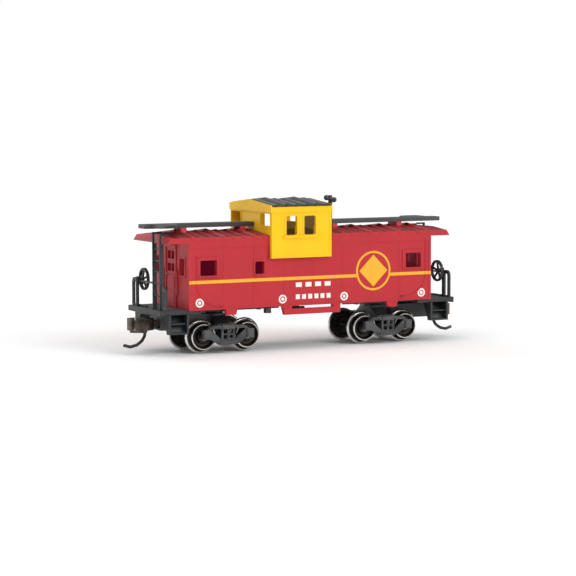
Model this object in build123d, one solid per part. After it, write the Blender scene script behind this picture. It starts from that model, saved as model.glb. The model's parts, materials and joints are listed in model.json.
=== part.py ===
"""Model caboose, N scale (1:160): one STEP file per physical piece, in millimetres.

The layout is drawn from the rail top, z = 0, with X along the car. Everything is
lifted at the end, so that the wheel flanges rest on z = 0 and the origin is the
middle of the car's footprint. End b is the +X end and end a is the same end turned
half a turn about Z, so every end piece is drawn once, at end b.
"""
from build123d import *
import math
import os

os.makedirs("parts", exist_ok=True)

# ------------------------------------------------------------------ driving sizes
BODY_HALF_LENGTH = 27.5
BODY_HALF_WIDTH = 8.54
BODY_BOTTOM = 8.24
EAVE_BOTTOM = 21.4
WALL = 0.95

ROOF_HALF_WIDTH = 8.66
ROOF_EAVE = 22.52
ROOF_RIDGE = 23.42
ROOF_END_BOTTOM = 31.96
ROOF_END_TOP = 31.23
PANEL = 6.65
RIB_PITCH = PANEL / 3
RIB_WIDTH = 0.95
RIB_LOW = 0.16
RIB_TALL = 0.36

CUPOLA_X0 = -9.88
CUPOLA_X1 = 3.58
CUPOLA_HALF_WIDTH = 9.42
CUPOLA_BOTTOM = 17.97
CUPOLA_FASCIA = 27.03
CUPOLA_EAVE = 28.18
CUPOLA_PEAK = 29.08
CUPOLA_SKIN = 0.32
CUPOLA_LIP = 0.3

FLOOR_BOTTOM = 8.34
FLOOR_TOP = 9.1
DECK_TOP = 8.4
DECK_BOTTOM = 7.5
DECK_END = 33.45
DECK_HALF_WIDTH = 8.0

WALK_BOTTOM = 24.1
WALK_TOP = 24.95
WALK_HALF_WIDTH = 1.6
WALK_END = 33.85

TRUCK_CENTRE = 18.24
WHEELBASE = 9.6
TREAD_R = 2.625
FLANGE_R = 3.39
AXLE_R = 0.75
SIDEFRAME_INNER = 5.9
SIDEFRAME_OUTER = 6.9
BOLSTER_TOP = 7.25
PIN_R = 0.8
RUNNING_FIT = 0.05

BOX_HALF_WIDTH = 2.8
BOX_X0 = 21.3
BOX_X1 = 31.0
BOX_FLOOR = 4.38
BOX_CEILING = 5.93
BOX_TOP = 6.9
COUPLER_PIVOT = 26.0
COUPLER_POST_R = 0.6
SHANK_BOTTOM = 4.45
SHANK_TOP = 5.85
HEAD_BOTTOM = 4.05
HEAD_TOP = 6.4
KNUCKLE_X = 33.9
KNUCKLE_Y = -1.15

KNUCKLE_PIN_R = 0.26
FOOT_BOTTOM = 3.45
FOOT_TOP = 3.92
TRIP_X = 33.3
TRIP_R = 0.31

# Side windows as (x0, x1, z0, z1, frame margin), for the -Y side.
SIDE_WINDOWS = [
    (-25.1, -21.5, 15.0, 18.0, 0.62),
    (-13.15, -11.15, 14.95, 17.45, 0.3),
    (21.4, 25.0, 15.05, 18.0, 0.78),
]
END_WINDOW = (4.3, 6.7, 15.0, 18.3)
DOOR_HALF_WIDTH = 2.45
DOOR_TOP = 20.4
PANE_WIDTH = 1.42
PANE_CENTRE = 0.86
PANE_ROWS = [(15.5, 17.1), (18.0, 19.6)]
DOOR_PANELS = [(9.3, 11.6), (12.2, 14.6)]
FRAME_PROUD = 0.16
BATTEN_PROUD = 0.04
BATTEN_HALF_WIDTH = 0.16
LETTER_BOARD = 0.95
BOTTOM_STRIP = 0.35
GRAB_R = 0.16
SADDLE_CENTRES = [-25.5, -12.5, 8.5, 23.8]
BELLY_BOTTOM = 6.5

CUPOLA_SIDE_WINDOWS = [(-6.6, -4.2), (-2.6, 0.0)]
CUPOLA_WINDOW_Z = (22.5, 26.3)
CUPOLA_END_WINDOW = (4.5, 8.85, 24.3, 26.95)
FASCIA_HALF_WIDTH = 9.56
FASCIA_X0 = -10.1
FASCIA_X1 = 3.8

JACK_X = 4.36
JACK_Y = -7.45
JACK_FOOT = 22.85
JACK_TOP = 30.2

STEP_X0 = 27.55
STEP_X1 = 31.75
STEP_BOTTOM = 3.7

RAIL_X = 32.0
RAIL_THICK = 0.45
WHEEL_Y = -4.9
WHEEL_Z = 13.75
SPINDLE_R = 0.22
SPINDLE_X = 31.85

LADDER_X0 = 31.75
LADDER_X1 = 32.6
LADDER_Y0 = 2.3
LADDER_Y1 = 6.1
STILE_WIDTH = 0.4
RUNG_R = 0.2
RUNGS = [11.06, 13.42, 15.78, 17.94, 20.3]

BOLSTER_BOTTOM = 4.4
JOURNAL_HALF_WIDTH = 0.75
JOURNAL_R = 0.45
AXLE_TIP = 6.62
WHEEL_SEAT = 5.72

LIFT = FLANGE_R - TREAD_R


# ------------------------------------------------------------------ small helpers
def block(x0, x1, y0, y1, z0, z1):
    """A box given by its six faces."""
    size = Box(x1 - x0, y1 - y0, z1 - z0)
    return Pos((x0 + x1) / 2, (y0 + y1) / 2, (z0 + z1) / 2) * size


def outline(points):
    return make_face(Polyline(*points, close=True))


def along_x(points, x0, x1):
    """An outline in (y, z), drawn out from x0 to x1."""
    return extrude(Plane.YZ.offset(x0) * outline(points), amount=x1 - x0)


def along_y(points, y0, y1):
    """An outline in (x, z), drawn out from y0 to y1."""
    return extrude(Plane.XZ.offset(-y1) * outline(points), amount=y1 - y0)


def along_z(points, z0, z1):
    """An outline in (x, y), drawn out from z0 to z1."""
    return extrude(Plane.XY.offset(z0) * outline(points), amount=z1 - z0)


def rod_x(x0, x1, y, z, r):
    return Pos((x0 + x1) / 2, y, z) * Rot(0, 90, 0) * Cylinder(r, x1 - x0)


def rod_y(x, y0, y1, z, r):
    return Pos(x, (y0 + y1) / 2, z) * Rot(90, 0, 0) * Cylinder(r, y1 - y0)


def rod_z(x, y, z0, z1, r):
    return Pos(x, y, (z0 + z1) / 2) * Cylinder(r, z1 - z0)


def mirrored(shape):
    """The shape and its mirror image across the car's centre line."""
    return [shape, mirror(shape, about=Plane.XZ)]


def half_turn(shape):
    return Rot(0, 0, 180) * shape


def side_panel(x0, x1, z0, z1, y0, y1, corner):
    """A plate with round corners, upright in the X-Z plane between y0 and y1."""
    face = Pos((x0 + x1) / 2, (z0 + z1) / 2) * RectangleRounded(x1 - x0, z1 - z0, corner)
    return extrude(Plane.XZ.offset(-y1) * face, amount=y1 - y0)


def end_panel(y0, y1, z0, z1, x0, x1, corner):
    """A plate with round corners, upright in the Y-Z plane between x0 and x1."""
    face = Pos((y0 + y1) / 2, (z0 + z1) / 2) * RectangleRounded(y1 - y0, z1 - z0, corner)
    return extrude(Plane.YZ.offset(x0) * face, amount=x1 - x0)


def save(name, shape):
    """Lift a finished piece onto its wheels and write it."""
    lifted = Pos(0, 0, LIFT) * shape
    solids = lifted.solids()
    whole = solids[0] if len(solids) == 1 else Compound(solids)
    whole.label = name
    export_step(whole, "parts/" + name + ".step")


def save_ends(name, shape):
    """Write an end piece for end b, and its half turn for end a."""
    save(name + "_b", shape)
    save(name + "_a", half_turn(shape))


def gable(half_width, eave, ridge, depth):
    """A roof section in (y, z): a pitched top, with its flat underside depth below the eave."""
    low = eave - depth
    return [(-half_width, low), (half_width, low), (half_width, eave), (0, ridge), (-half_width, eave)]


def roof_height(y):
    """Height of the main roof's surface at y."""
    return ROOF_RIDGE - (ROOF_RIDGE - ROOF_EAVE) * abs(y) / ROOF_HALF_WIDTH


def roof_rib(number, half_width, eave, ridge, turn_down):
    """One transverse rib over a pitched roof, its ends turned down over the eaves.

    Ribs are numbered from the middle of the car. Every third one covers a panel joint and is taller.
    """
    x = number * RIB_PITCH
    tall = RIB_TALL if number % 3 == 0 else RIB_LOW
    slope = math.degrees(math.atan2(ridge - eave, half_width))
    run = math.hypot(ridge - eave, half_width)
    half = RIB_WIDTH / 2
    section = [(x - half, -0.2), (x + half, -0.2), (x + half * 0.9, 0.04), (x + half * 0.35, tall),
               (x - half * 0.35, tall), (x - half * 0.9, 0.04)]
    lean = along_y(section, -run, 0)
    near = Pos(0, 0, ridge) * Rot(slope, 0, 0) * lean
    crown = along_y([(px, pz + ridge) for px, pz in section], -0.25, 0.25)
    lip = block(x - half * 0.6, x + half * 0.6, -half_width - 0.1, 0.2 - half_width, eave - turn_down, eave)
    return [crown] + mirrored(near) + mirrored(lip)


# ------------------------------------------------------------------ body shell
def side_details():
    """What stands proud of the -Y side: window frames, trim and moulded grab irons."""
    face = -BODY_HALF_WIDTH
    pieces = []
    for x0, x1, z0, z1, margin in SIDE_WINDOWS:
        pieces.append(side_panel(x0 - margin, x1 + margin, z0 - margin * 0.75, z1 + margin,
                                 face - FRAME_PROUD, face + 0.2, 0.35))
    end = BODY_HALF_LENGTH
    board = EAVE_BOTTOM - LETTER_BOARD
    strip = BODY_BOTTOM + BOTTOM_STRIP
    pieces.append(block(-end, end, face - 0.1, face + 0.2, board, EAVE_BOTTOM))
    pieces.append(block(-end, end, face - 0.08, face + 0.2, BODY_BOTTOM, strip))
    # battens over the panel seams
    for number in range(-3, 4):
        x = number * PANEL
        half = BATTEN_HALF_WIDTH
        pieces.append(block(x - half, x + half, face - BATTEN_PROUD, face + 0.2, strip, board))
    for end in (-1, 1):
        corner = end * (BODY_HALF_LENGTH - 0.3)
        pieces.append(block(corner - 0.3, corner + 0.3, face - 0.09, face + 0.2, BODY_BOTTOM, EAVE_BOTTOM))
    pieces += grab_iron(-1, 25.85, 18.8, 8.85)
    pieces += grab_iron(1, 26.2, 20.5, 9.1)
    return pieces


def grab_iron(end, x_post, z_high, z_low):
    """A moulded grab iron: down beside the corner, then round along the bottom of the side."""
    face = -BODY_HALF_WIDTH
    reach = 5.8
    bend = 4.9
    path = FilletPolyline((end * x_post, face, z_high), (end * x_post, face, z_low),
                          (end * (x_post - reach), face, z_low), radius=bend)
    section = Plane(origin=path @ 0, z_dir=path % 0) * Circle(GRAB_R)
    bar = sweep(section, path=path)
    feet = []
    for x, z in ((end * x_post, z_high), (end * (x_post - reach), z_low)):
        feet.append(Pos(x, face, z) * Sphere(GRAB_R * 1.4))
    return [bar] + feet


def side_openings():
    face = -BODY_HALF_WIDTH
    return [side_panel(x0, x1, z0, z1, face - 1, face + 1.5, 0.28)
            for x0, x1, z0, z1, margin in SIDE_WINDOWS]


def end_details():
    """What stands proud of the end b wall: the door frame, door panels and window frames."""
    face = BODY_HALF_LENGTH
    y0, y1, z0, z1 = END_WINDOW
    pieces = []
    for side in (-1, 1):
        low, high = sorted((side * y0, side * y1))
        rim = 0.38
        pieces.append(end_panel(low - rim, high + rim, z0 - rim, z1 + rim,
                                face - 0.2, face + FRAME_PROUD, 0.3))
        jamb = side * DOOR_HALF_WIDTH
        pieces.append(block(face - 0.2, face + 0.2, jamb - 0.2, jamb + 0.2, DECK_TOP, DOOR_TOP))
        # hand rail beside the door
        rail = side * (DOOR_HALF_WIDTH + 0.75)
        pieces.append(block(face - 0.2, face + 0.25, rail - 0.15, rail + 0.15, 11.0, 16.0))
    lintel = DOOR_HALF_WIDTH + 0.2
    pieces.append(block(face - 0.2, face + 0.24, -lintel, lintel, DOOR_TOP, DOOR_TOP + 0.4))
    for bottom, top in DOOR_PANELS:
        pieces.append(end_panel(-1.6, 1.6, bottom, top, face - 0.2, face + 0.1, 0.15))
    return pieces


def end_openings():
    face = BODY_HALF_LENGTH
    y0, y1, z0, z1 = END_WINDOW
    cuts = []
    for side in (-1, 1):
        low, high = sorted((side * y0, side * y1))
        cuts.append(end_panel(low, high, z0, z1, face - 1.5, face + 1, 0.2))
        for bottom, top in PANE_ROWS:
            pane = side * PANE_CENTRE
            half = PANE_WIDTH / 2
            cuts.append(end_panel(pane - half, pane + half, bottom, top, face - 1.5, face + 1, 0.12))
    return cuts


def main_roof():
    """The pitched roof with ribs and walk saddles. Its overhangs slope in and droop a little at the ridge."""
    depth = ROOF_EAVE - EAVE_BOTTOM
    section = gable(ROOF_HALF_WIDTH, ROOF_EAVE, ROOF_RIDGE, depth)
    slab = along_x(section, -ROOF_END_BOTTOM, ROOF_END_BOTTOM)
    half_view = [(ROOF_END_BOTTOM, EAVE_BOTTOM), (ROOF_END_TOP, ROOF_EAVE),
                 (ROOF_END_TOP - 0.1, ROOF_RIDGE - 0.38), (BODY_HALF_LENGTH, ROOF_RIDGE + 0.01)]
    side_view = half_view + [(-x, z) for x, z in reversed(half_view)]
    slab = slab & along_y(side_view, -10, 10)
    raised = []
    for number in list(range(-12, -4)) + list(range(2, 13)):
        raised += roof_rib(number, ROOF_HALF_WIDTH, ROOF_EAVE, ROOF_RIDGE, 0.5)
    saddle = [(-2.1, 23.0), (2.1, 23.0), (1.75, WALK_BOTTOM), (-1.75, WALK_BOTTOM)]
    for x in SADDLE_CENTRES:
        raised.append(along_x(saddle, x - 0.6, x + 0.6))
    # the boss that the smoke jack stands on
    raised.append(rod_z(JACK_X, JACK_Y, ROOF_EAVE - 0.4, JACK_FOOT, 0.7))
    return slab + raised


def sills():
    """The deep sill and bolster tabs that hang under the -Y side."""
    outer = -BODY_HALF_WIDTH
    inner = outer + WALL
    top = BODY_BOTTOM + 0.2
    belly = along_y([(-7.05, top), (-6.54, BELLY_BOTTOM), (6.11, BELLY_BOTTOM), (6.2, top)], outer, inner)
    belly = belly - block(-4.9, 4.4, outer - 1, inner + 1, 7.65, BODY_BOTTOM + 0.02)
    pieces = [belly]
    for x in (-18.3, 18.3):
        tab = [(x - 1.4, top), (x - 1.0, 7.05), (x + 1.0, 7.05), (x + 1.4, top)]
        pieces.append(along_y(tab, outer, inner))
    return pieces


def body_shell():
    """Walls, roof, relief and openings, open at the bottom for the underframe."""
    length, width = BODY_HALF_LENGTH, BODY_HALF_WIDTH
    walls = block(-length, length, -width, width, BODY_BOTTOM, EAVE_BOTTOM)
    hollow = block(WALL - length, length - WALL, WALL - width, width - WALL, BODY_BOTTOM - 1, EAVE_BOTTOM)
    near = side_details() + sills()
    far = [half_turn(piece) for piece in near]
    end_b = end_details()
    end_a = [half_turn(piece) for piece in end_b]
    shell = walls + main_roof() + near + far + end_b + end_a
    cuts = side_openings() + end_openings()
    cuts += [half_turn(cut) for cut in cuts]
    well = block(CUPOLA_X0 + 1.3, CUPOLA_X1 - 1.3, -7.4, 7.4, EAVE_BOTTOM - 1, ROOF_RIDGE + 2)
    return shell - [hollow, well] - cuts


# ------------------------------------------------------------------ cupola
def cupola_shell():
    """The cupola sits astride the roof, its sides outside the body's sides."""
    wide = CUPOLA_HALF_WIDTH
    walls = block(CUPOLA_X0, CUPOLA_X1, -wide, wide, CUPOLA_BOTTOM, CUPOLA_EAVE)
    gable_face = gable(FASCIA_HALF_WIDTH, CUPOLA_EAVE, CUPOLA_PEAK, CUPOLA_EAVE - CUPOLA_FASCIA)
    cap = [along_x(gable_face, FASCIA_X0, FASCIA_X1)]
    # a lip at each end, as high as the roof's skin
    eave, peak = CUPOLA_EAVE + CUPOLA_SKIN, CUPOLA_PEAK + CUPOLA_SKIN
    lip = gable(FASCIA_HALF_WIDTH, eave, peak, CUPOLA_SKIN + 0.2)
    cap.append(along_x(lip, FASCIA_X0, FASCIA_X0 + CUPOLA_LIP))
    cap.append(along_x(lip, FASCIA_X1 - CUPOLA_LIP, FASCIA_X1))
    trim = []
    low, high = CUPOLA_WINDOW_Z
    for x0, x1 in CUPOLA_SIDE_WINDOWS:
        trim.append(side_panel(x0 - 0.32, x1 + 0.32, low - 0.1, high + 0.32, -wide - 0.12, 0.2 - wide, 0.3))
    trim.append(block(-7.35, 0.75, -wide - 0.3, 0.2 - wide, 21.9, low - 0.08))
    trim.append(block(CUPOLA_X0, CUPOLA_X1, -wide - 0.08, 0.2 - wide, CUPOLA_BOTTOM, CUPOLA_BOTTOM + 0.3))
    for x0, x1 in ((CUPOLA_X0, CUPOLA_X0 + 0.45), (CUPOLA_X1 - 0.45, CUPOLA_X1)):
        trim.append(block(x0, x1, -wide - 0.08, 0.2 - wide, CUPOLA_BOTTOM, CUPOLA_FASCIA))
    trim += [mirror(piece, about=Plane.XZ) for piece in trim]
    y0, y1, z0, z1 = CUPOLA_END_WINDOW
    for side in (-1, 1):
        a, b = sorted((side * y0, side * y1))
        for x in (CUPOLA_X0, CUPOLA_X1):
            trim.append(end_panel(a - 0.3, b + 0.25, z0 - 0.3, z1, x - 0.12, x + 0.12, 0.2))
    shell = walls + cap + trim
    straddle = BODY_HALF_WIDTH + 0.1
    saddle = block(CUPOLA_X0 - 1, CUPOLA_X1 + 1, -straddle, straddle, 0, EAVE_BOTTOM)
    roof_cut = along_x(gable(ROOF_HALF_WIDTH, ROOF_EAVE, ROOF_RIDGE, 3), CUPOLA_X0 - 1, CUPOLA_X1 + 1)
    hollow = block(CUPOLA_X0 + WALL, CUPOLA_X1 - WALL, WALL - wide, wide - WALL,
                   ROOF_EAVE - 1, CUPOLA_EAVE - 0.5)
    cuts = [saddle, roof_cut, hollow]
    for x0, x1 in CUPOLA_SIDE_WINDOWS:
        window = side_panel(x0, x1, low, high, -wide - 1, 1.5 - wide, 0.3)
        cuts += mirrored(window)
    for side in (-1, 1):
        a, b = sorted((side * y0, side * y1))
        cuts.append(end_panel(a, b, z0, z1 - 0.15, CUPOLA_X0 - 1, CUPOLA_X1 + 1, 0.2))
    return shell - cuts


def cupola_roof():
    """The ribbed skin over the cupola's gable, between its end lips."""
    lap = 0.14
    half = FASCIA_HALF_WIDTH + lap
    drop = (CUPOLA_PEAK - CUPOLA_EAVE) / FASCIA_HALF_WIDTH
    eave = CUPOLA_EAVE + CUPOLA_SKIN - lap * drop
    peak = CUPOLA_PEAK + CUPOLA_SKIN
    skin = along_x(gable(half, eave, peak, 0.2), FASCIA_X0 + CUPOLA_LIP, FASCIA_X1 - CUPOLA_LIP)
    ribs = []
    for number in range(-4, 2):
        ribs += roof_rib(number, half, eave, peak, 0.25)
    under = along_x(gable(FASCIA_HALF_WIDTH, CUPOLA_EAVE, CUPOLA_PEAK, 3), FASCIA_X0 - 2, FASCIA_X1 + 2)
    return skin + ribs - under


def smoke_jack():
    """A stove pipe with a cross arm on top and a ball on each of its ends."""
    pipe = rod_z(JACK_X, JACK_Y, JACK_FOOT, JACK_TOP, 0.42)
    reach = 1.59
    arm_height = 29.5
    arm = rod_y(JACK_X, JACK_Y - reach, JACK_Y + reach, arm_height, 0.36)
    ends = []
    for side in (-1, 1):
        # the arm sits a little askew, with its inner ball the higher one
        ends.append(Pos(JACK_X, JACK_Y + side * reach, arm_height + side * 0.16) * Sphere(0.56))
    ring = rod_z(JACK_X, JACK_Y, 28.1, 28.5, 0.5)
    foot = Pos(JACK_X, JACK_Y, JACK_FOOT + 0.2) * Cone(0.66, 0.42, 0.4)
    return pipe + [arm, ring, foot] + ends


# ------------------------------------------------------------------ roof walks
def roofwalk(inner_end):
    """A three-board walk from the cupola to past the roof's end, with a corner platform."""
    walk = block(inner_end, WALK_END, -WALK_HALF_WIDTH, WALK_HALF_WIDTH, WALK_BOTTOM, WALK_TOP)
    corner = [(27.6, 1.5), (32.4, 1.5), (32.4, 6.0), (29.0, 6.0), (27.6, 4.6)]
    platform = along_z(corner, WALK_BOTTOM + 0.2, WALK_TOP)
    grooves = []
    board = WALK_HALF_WIDTH / 3
    for y in (-board, board):
        grooves.append(block(inner_end - 1, WALK_END + 1, y - 0.07, y + 0.07, WALK_TOP - 0.18, WALK_TOP + 1))
    for number in range(1, 6):
        x = 27.6 + number * 0.8
        grooves.append(block(x - 0.06, x + 0.06, WALK_HALF_WIDTH + 0.12, 7, WALK_TOP - 0.15, WALK_TOP + 1))
    return walk + platform - grooves


# ------------------------------------------------------------------ end platforms
def steps():
    """The -Y flight of steps: two side plates, a slanted back and two treads."""
    outer = -BODY_HALF_WIDTH
    thick = 0.42
    tread = 0.32
    middle = 5.55
    top, foot = -5.26, -7.3
    plate = [(top, DECK_BOTTOM), (outer, DECK_BOTTOM), (outer, STEP_BOTTOM), (foot, STEP_BOTTOM)]
    back = [(top, DECK_BOTTOM), (top - tread, DECK_BOTTOM), (foot - tread, STEP_BOTTOM), (foot, STEP_BOTTOM)]
    pieces = [along_x(plate, STEP_X0, STEP_X0 + thick), along_x(plate, STEP_X1 - thick, STEP_X1)]
    pieces.append(along_x(back, STEP_X0, STEP_X1))
    pieces.append(block(STEP_X0, STEP_X1, outer, -7.15, STEP_BOTTOM, STEP_BOTTOM + tread))
    pieces.append(block(STEP_X0, STEP_X1, -7.9, -6.35, middle, middle + tread))
    return pieces[0] + pieces[1:]


def end_platform():
    """The deck with its end sill, the coupler's pocket and the grooves between its treads."""
    deck = block(BODY_HALF_LENGTH, DECK_END - 0.6, -DECK_HALF_WIDTH, DECK_HALF_WIDTH, DECK_BOTTOM, DECK_TOP)
    sill = block(DECK_END - 0.7, DECK_END, -DECK_HALF_WIDTH, DECK_HALF_WIDTH, 7.3, DECK_TOP)
    pocket = block(BODY_HALF_LENGTH + 0.4, DECK_END - 0.3, -2.6, 2.6, 7.1, DECK_BOTTOM + 0.1)
    treads = []
    for number in range(7):
        x = 28.4 + number * 0.62
        treads.append(block(x - 0.05, x + 0.05, -7.4, 7.4, DECK_TOP - 0.1, DECK_TOP + 1))
    return deck + [sill, pocket] - treads


def end_railing():
    """The hoop rail on the brake side, its base strip, the cross bar and the gate post."""
    x0, x1 = RAIL_X, RAIL_X + RAIL_THICK
    hoop = end_panel(-8.4, -5.7, DECK_TOP - 3, 14.0, x0, x1, 1.1)
    hoop = hoop - end_panel(-7.72, -6.48, DECK_TOP - 3, 13.32, x0 - 1, x1 + 1, 0.5)
    hoop = hoop - block(x0 - 1, x1 + 1, -9, -5, DECK_TOP - 4, DECK_TOP)
    strip = block(x0, x1, -8.4, -1.2, DECK_TOP, DECK_TOP + 0.32)
    bar = block(x0 + 0.05, x1 - 0.05, -6, LADDER_Y0, 13.3, 13.65)
    gate_face = [(6.9, DECK_TOP), (8.45, DECK_TOP), (8.45, 12.4), (6.9, 13.4)]
    gate_slot = [(7.5, 9.2), (7.9, 9.2), (7.9, 11.9), (7.5, 12.2)]
    gate = along_x(gate_face, x0, x1) - along_x(gate_slot, x0 - 1, x1 + 1)
    spindle_notch = rod_x(x0 - 1, x1 + 1, WHEEL_Y, WHEEL_Z, SPINDLE_R)
    return [hoop + [strip, bar] - spindle_notch, gate]


def ladder():
    """Deep stiles up to the eave, thin ones past the roof's edge, and their hooks on the roof."""
    x0, x1 = LADDER_X0, LADDER_X1
    thin = x1 - 0.4
    pieces = []
    for y0, y1 in ((LADDER_Y0, LADDER_Y0 + STILE_WIDTH), (LADDER_Y1 - STILE_WIDTH, LADDER_Y1)):
        reach = roof_height(y0) + 0.02
        top = reach + 0.33
        pieces.append(block(x0, x1, y0, y1, DECK_TOP, EAVE_BOTTOM - 0.1))
        pieces.append(block(thin, x1, y0, y1, DECK_TOP, top))
        pieces.append(block(30.6, x1, y0, y1, reach, top))
    for z in RUNGS:
        pieces.append(rod_y((x0 + x1) / 2, LADDER_Y0 + 0.2, LADDER_Y1 - 0.2, z, RUNG_R))
    return pieces[0] + pieces[1:]


def brake_staff():
    """The staff up from the deck, with its step bracket and the wheel's spindle."""
    staff_r = 0.27
    x = RAIL_X + RAIL_THICK + staff_r
    staff = rod_z(x, WHEEL_Y, DECK_TOP, 14.1, staff_r)
    base = block(x - staff_r, x + staff_r, WHEEL_Y - 0.45, WHEEL_Y + 0.45, DECK_TOP, DECK_TOP + 0.35)
    spindle = rod_x(SPINDLE_X, x, WHEEL_Y, WHEEL_Z, SPINDLE_R)
    cap = Pos(x, WHEEL_Y, 14.1) * Sphere(staff_r)
    return staff + [base, spindle, cap]


def brake_wheel():
    """Rim, hub and five spokes that dish back from the hub to the rim, on the spindle's end."""
    rim_x = 31.25
    ring = [(1.82, -0.26), (2.1, -0.34), (2.25, -0.22), (2.25, 0.22), (2.1, 0.34), (1.82, 0.26)]
    rim = Pos(rim_x, WHEEL_Y, WHEEL_Z) * Rot(0, 90, 0) * revolve(Plane.XZ * outline(ring), axis=Axis.Z)
    hub = rod_x(rim_x + 0.1, SPINDLE_X, WHEEL_Y, WHEEL_Z, 0.5)
    spokes = []
    for number in range(5):
        arm = along_y([(-0.16, 1.95), (0.16, 1.95), (0.5, 0.3), (0.1, 0.3)], -0.17, 0.17)
        spokes.append(Pos(rim_x, WHEEL_Y, WHEEL_Z) * Rot(72 * number, 0, 0) * arm)
    return rim + [hub] + spokes


# ------------------------------------------------------------------ underframe
def underframe():
    """The floor that plugs the shell, with bolsters, centre sill, cross ties and brake gear."""
    length = BODY_HALF_LENGTH - WALL
    width = BODY_HALF_WIDTH - WALL
    floor = block(-length, length, -width, width, FLOOR_BOTTOM, FLOOR_TOP)
    parts = [block(-13.5, 13.5, -1.2, 1.2, 7.5, FLOOR_BOTTOM)]
    for end in (-1, 1):
        centre = end * TRUCK_CENTRE
        parts.append(rod_z(centre, 0, BOLSTER_TOP + 0.08, FLOOR_BOTTOM, 2.6))
        parts.append(block(centre - 1.3, centre + 1.3, -7.3, 7.3, 7.6, FLOOR_BOTTOM))
        sill = sorted((end * 24.6, end * BODY_HALF_LENGTH))
        parts.append(block(sill[0], sill[1], -8.0, 8.0, DECK_BOTTOM, BODY_BOTTOM))
        parts.append(block(sill[0] * 0.98, sill[1] * 0.96, -7.0, 7.0, BODY_BOTTOM, FLOOR_BOTTOM))
        edge = sorted((end * 7.4, end * 25.0))
        for side in (-1, 1):
            strip = sorted((side * 6.9, side * width))
            parts.append(block(edge[0], edge[1], strip[0], strip[1], 7.88, FLOOR_BOTTOM))
    for x in (-11.5, 10.8):
        parts.append(block(x - 0.3, x + 0.3, -7.2, 7.2, 7.7, FLOOR_BOTTOM))
    # brake cylinder with its rod, reservoir, and the cylinder's hangers
    parts.append(rod_x(-4.0, -1.2, -3.6, 7.35, 0.9))
    parts.append(rod_x(-1.2, 0.4, -3.6, 7.35, 0.28))
    parts.append(rod_x(1.5, 6.0, 4.2, 7.95, 0.6))
    for x in (-3.4, -1.8):
        parts.append(block(x - 0.25, x + 0.25, -4.1, -3.1, 7.4, FLOOR_BOTTOM))
    # the valve that shows under the sill
    parts.append(block(-10.6, -9.4, -8.2, -7.2, 7.0, 8.0))
    frame = floor + parts
    holes = [rod_z(end * TRUCK_CENTRE, 0, 5, FLOOR_TOP + 1, PIN_R) for end in (-1, 1)]
    return frame - holes


def weight():
    """The steel ballast on the floor, out of sight inside the body."""
    return block(-16.4, 16.4, -6.6, 6.6, FLOOR_TOP, 11.0)


def kingpin():
    """The pin from under the truck's bolster up into the floor."""
    shank = rod_z(TRUCK_CENTRE, 0, BOLSTER_BOTTOM - 0.3, FLOOR_TOP, PIN_R)
    head = rod_z(TRUCK_CENTRE, 0, BOLSTER_BOTTOM - 0.55, BOLSTER_BOTTOM - 0.1, 1.45)
    return shank + head


# ------------------------------------------------------------------ trucks
def sideframe():
    """The -Y side frame, about the truck's own centre."""
    half_view = [(2.0, 1.05), (4.1, 2.3), (5.5, 2.3), (5.5, 4.05), (4.55, 4.1), (3.5, 4.87)]
    outer = half_view + [(-x, z) for x, z in reversed(half_view)]
    frame = along_y(outer, -SIDEFRAME_OUTER, -SIDEFRAME_INNER)
    cut_from, cut_to = -SIDEFRAME_OUTER - 1, 1 - SIDEFRAME_INNER
    # the arms are thin plates; only the top bar and the journals are full depth
    cuts = [block(-3.5, 3.5, 0.55 - SIDEFRAME_OUTER, cut_to, 0.5, 4.25)]
    details = []
    for end in (-1, 1):
        gap = [(end * 1.45, 4.2), (end * 1.45, 2.0), (end * 3.8, 4.05), (end * 3.8, 4.2)]
        cuts.append(along_y(gap, cut_from, cut_to))
        low, high = sorted((end * 0.22, end * 1.05))
        for bottom, top in ((2.15, 2.95), (3.25, 4.15)):
            cuts.append(block(low, high, cut_from, cut_to, bottom, top))
        journal = end * WHEELBASE / 2
        half = JOURNAL_HALF_WIDTH
        details.append(block(journal - half, journal + half, -7.15, -SIDEFRAME_INNER - 0.4, 2.2, 4.05))
        lid = [(-7.15, 2.35), (-7.3, 2.45), (-7.3, 3.6), (-7.15, 3.95)]
        details.append(along_x(lid, journal - half + 0.15, journal + half - 0.15))
        # column bolts
        details.append(rod_y(end * 1.9, -7.1, -6.5, 4.5, 0.26))
        details.append(rod_y(end * 1.75, -7.1, -6.5, 1.5, 0.22))
    details.append(block(-1.3, 1.3, -7.1, -6.4, 4.15, 4.95))
    details.append(block(-1.75, 1.75, -7.1, -6.4, 1.05, 1.85))
    return frame - cuts + details


def bearing_cup(x, side):
    """The coned bearing that the axle's point runs in."""
    depth = AXLE_TIP + RUNNING_FIT
    inner = SIDEFRAME_INNER - 0.01
    r = JOURNAL_R + RUNNING_FIT
    profile = [(0, inner), (r, inner), (r, depth - r), (0, depth)]
    cup = revolve(Plane.XZ * outline(profile), axis=Axis.Z)
    turned = Rot(90, 0, 0) * cup if side < 0 else Rot(-90, 0, 0) * cup
    return Pos(x, 0, TREAD_R) * turned


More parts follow.
